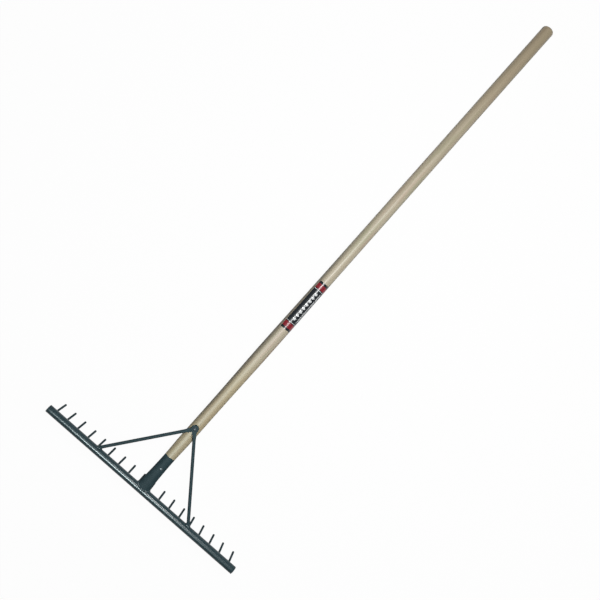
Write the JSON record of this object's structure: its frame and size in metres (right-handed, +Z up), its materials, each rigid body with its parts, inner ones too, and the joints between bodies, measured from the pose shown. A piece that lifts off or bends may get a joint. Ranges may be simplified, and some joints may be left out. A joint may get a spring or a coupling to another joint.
{
  "type": "landscape rake",
  "caption": "Long-handled rake with a straight tubular steel head, a row of round steel tines, stays bolted to the handle and a turned wooden handle with a swell.",
  "frame": {"origin": "centre of the rake's box at ground level, as it rests on its tine tips and the end of its handle", "axes": "+X along the head, to the right when looking from the head towards the end of the handle, +Y from the head towards the end of the handle, +Z up from the ground"},
  "size_m": [0.66, 1.7063, 0.0954],
  "materials": {
    "head_enamel": "gloss dark blue-green enamel",
    "ash_wood": "satin lacquer",
    "label_film": "printed film",
    "bright_steel": "zinc plated",
    "black_steel": "blackened"
  },
  "bodies": {
    "root": {"handle": "ash_wood", "label_band": "label_film", "socket": "head_enamel", "head_tube": "head_enamel", "end_cap_left": "head_enamel", "end_cap_right": "head_enamel", "tine_01": "head_enamel", "tine_02": "head_enamel", "tine_03": "head_enamel", "tine_04": "head_enamel", "tine_05": "head_enamel", "tine_06": "head_enamel", "tine_07": "head_enamel", "tine_08": "head_enamel", "tine_09": "head_enamel", "tine_10": "head_enamel", "tine_11": "head_enamel", "tine_12": "head_enamel", "tine_13": "head_enamel", "tine_14": "head_enamel", "tine_15": "head_enamel", "tine_16": "head_enamel", "tine_17": "head_enamel", "tine_18": "head_enamel", "tine_welds": "head_enamel", "socket_weld": "head_enamel", "stay_left": "head_enamel", "stay_right": "head_enamel", "stay_weld_left": "head_enamel", "stay_weld_right": "head_enamel", "socket_rivet": "bright_steel", "stay_bolt": "black_steel", "stay_washer": "bright_steel", "stay_nut": "bright_steel"}
  },
  "joints": []
}
